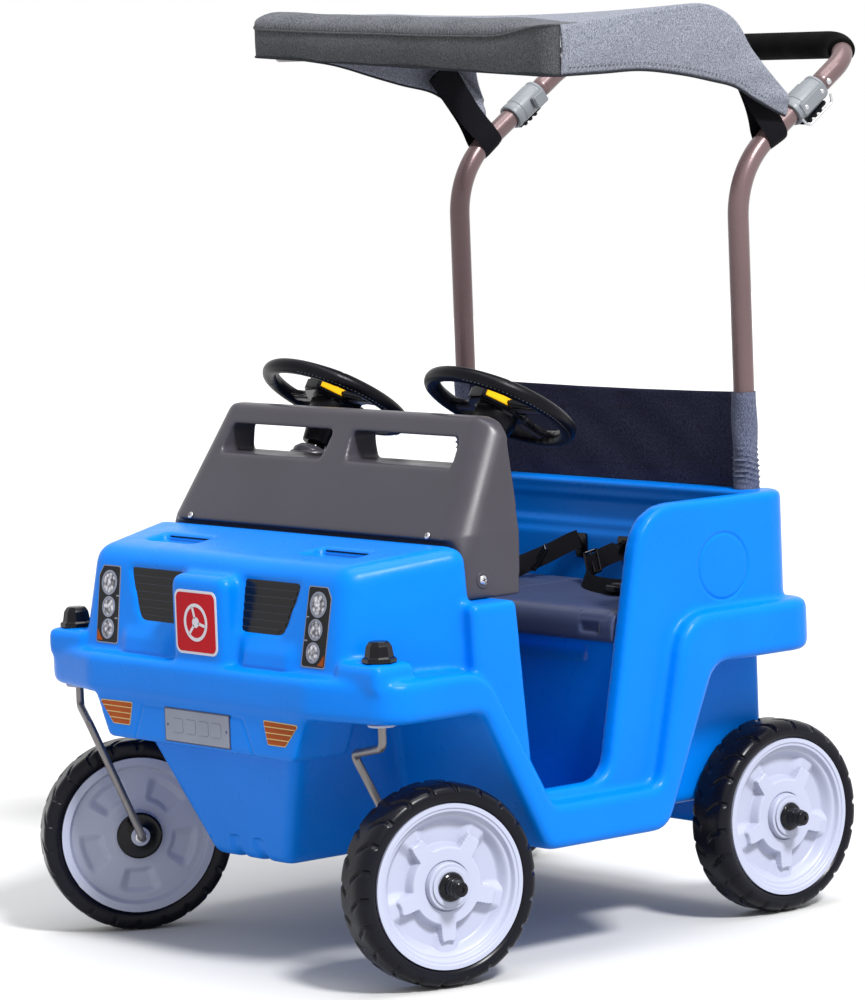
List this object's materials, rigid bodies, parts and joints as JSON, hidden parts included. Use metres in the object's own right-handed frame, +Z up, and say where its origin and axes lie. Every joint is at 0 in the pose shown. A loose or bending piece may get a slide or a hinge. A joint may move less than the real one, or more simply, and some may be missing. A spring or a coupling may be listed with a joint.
{
  "type": "two-seat ride-in push car",
  "caption": "Two-seat ride-in push car: moulded body, caster front wheels, rolling rear wheels, steering wheels, lift-up seat, fabric canopy and a folding push handle.",
  "frame": {"origin": "centre of the footprint, on the ground", "axes": "+Z up, the car faces -Y and the push handle is at +Y, +X is on the right seen from the front; the body's middle plane is x = -0.003, because the casters stand askew in the footprint"},
  "size_m": [0.6914, 0.878, 1.0921],
  "materials": {
    "moulded_blue": "satin-gloss moulded plastic",
    "dash_gray": "satin dark gray moulded plastic",
    "seat_gray": "satin violet-gray moulded plastic",
    "black_plastic": "satin black plastic",
    "tyre_black": "hard moulded tread, slightly glossy",
    "hub_white": "satin off-white plastic",
    "dark_steel": "dark bare steel rod",
    "tube_tan": "powder-coated tube, taupe",
    "foam_black": "matt closed-cell foam",
    "collar_gray": "matt blue-gray plastic",
    "heather_gray": "heather weave",
    "dark_mesh": "dark heather mesh",
    "webbing_black": "woven webbing",
    "lamp": "printed sticker",
    "fog_orange": "printed sticker",
    "plate_silver": "printed sticker",
    "badge_red": "printed sticker"
  },
  "bodies": {
    "car": {"body_shell": "moulded_blue", "windshield_dash": "dash_gray", "dash_screw_left": "dark_steel", "dash_screw_right": "dark_steel", "headlight_left": "lamp", "headlight_right": "lamp", "grille_left": "black_plastic", "grille_right": "black_plastic", "fog_light_left": "fog_orange", "fog_light_right": "fog_orange", "number_plate": "plate_silver", "front_badge": "badge_red", "caster_bushing_left": "hub_white", "caster_bushing_right": "hub_white", "rear_axle": "dark_steel", "rear_left_cap": "black_plastic", "rear_right_cap": "black_plastic", "handle_tube_left": "tube_tan", "handle_tube_right": "tube_tan", "canopy_cover": "heather_gray", "canopy_frame": "dark_steel", "canopy_strap_left": "webbing_black", "canopy_strap_right": "webbing_black", "back_panel": "dark_mesh", "seat_belt_left": "webbing_black", "seat_belt_right": "webbing_black"},
    "lid": {"seat_lid": "seat_gray", "belt_buckle_left": "black_plastic", "belt_buckle_right": "black_plastic"},
    "handle": {"handle_bar": "tube_tan", "foam_grip": "foam_black", "fold_rivet_left": "dark_steel", "fold_rivet_right": "dark_steel"},
    "caster_left": {"caster_rod_left": "dark_steel", "caster_knob_left": "black_plastic", "front_left_cap": "black_plastic", "front_left_washer": "hub_white"},
    "front_wheel_left": {"front_left_tyre": "tyre_black", "front_left_hub": "hub_white", "front_left_hub_plate": "black_plastic"},
    "rear_wheel_left": {"rear_left_tyre": "tyre_black", "rear_left_hub": "hub_white"},
    "steering_left": {"steering_wheel_left": "black_plastic", "steering_column_left": "black_plastic"},
    "collar_left": {"handle_collar_left": "collar_gray", "collar_button_left": "collar_gray"},
    "caster_right": {"caster_rod_right": "dark_steel", "caster_knob_right": "black_plastic", "front_right_cap": "black_plastic", "front_right_washer": "hub_white"},
    "front_wheel_right": {"front_right_tyre": "tyre_black", "front_right_hub": "hub_white", "front_right_hub_plate": "black_plastic"},
    "rear_wheel_right": {"rear_right_tyre": "tyre_black", "rear_right_hub": "hub_white"},
    "steering_right": {"steering_wheel_right": "black_plastic", "steering_column_right": "black_plastic"},
    "collar_right": {"handle_collar_right": "collar_gray", "collar_button_right": "collar_gray"}
  },
  "joints": [
    {"name": "caster_swivel_left", "type": "hinge", "parent": "car", "child": "caster_left", "pos_m": [-0.289, -0.3775, 0.3205], "axis": [0, 0, 1], "continuous": true},
    {"name": "front_wheel_spin_left", "type": "hinge", "parent": "caster_left", "child": "front_wheel_left", "pos_m": [-0.26819, -0.31855, 0.1155], "axis": [-0.8926, 0.4509, 0], "continuous": true},
    {"name": "rear_wheel_spin_left", "type": "hinge", "parent": "car", "child": "rear_wheel_left", "pos_m": [-0.2655, 0.2435, 0.1155], "axis": [-1, 0, 0], "continuous": true},
    {"name": "steering_turn_left", "type": "hinge", "parent": "car", "child": "steering_left", "pos_m": [-0.156, -0.0735, 0.6275], "axis": [0, 0.515, 0.8572], "continuous": true},
    {"name": "caster_swivel_right", "type": "hinge", "parent": "car", "child": "caster_right", "pos_m": [0.283, -0.3775, 0.3205], "axis": [0, 0, 1], "continuous": true},
    {"name": "front_wheel_spin_right", "type": "hinge", "parent": "caster_right", "child": "front_wheel_right", "pos_m": [0.30216, -0.318, 0.1155], "axis": [0.9833, -0.1822, 0], "continuous": true},
    {"name": "rear_wheel_spin_right", "type": "hinge", "parent": "car", "child": "rear_wheel_right", "pos_m": [0.2595, 0.2435, 0.1155], "axis": [1, 0, 0], "continuous": true},
    {"name": "steering_turn_right", "type": "hinge", "parent": "car", "child": "steering_right", "pos_m": [0.15, -0.0735, 0.6275], "axis": [0, 0.515, 0.8572], "continuous": true},
    {"name": "seat_lid_hinge", "type": "hinge", "parent": "car", "child": "lid", "pos_m": [-0.003, 0.1775, 0.3855], "axis": [-1, 0, 0], "range_deg": [0, 60], "deforming": ["seat_belt_left", "seat_belt_right"]},
    {"name": "handle_fold", "type": "hinge", "parent": "car", "child": "handle", "pos_m": [-0.003, 0.366, 0.9876], "axis": [-1, 0, 0], "range_deg": [0, 90]},
    {"name": "collar_slide_left", "type": "slide", "parent": "car", "child": "collar_left", "axis": [0, -0.8269, -0.5623], "range_m": [0, 0.0205]},
    {"name": "collar_slide_right", "type": "slide", "parent": "car", "child": "collar_right", "axis": [0, -0.8269, -0.5623], "range_m": [0, 0.0205]}
  ],
  "couplings": [
    {"joint": "collar_slide_left", "follows": "handle_fold", "m_per_rad": 0.01285},
    {"joint": "collar_slide_right", "follows": "handle_fold", "m_per_rad": 0.01285}
  ]
}
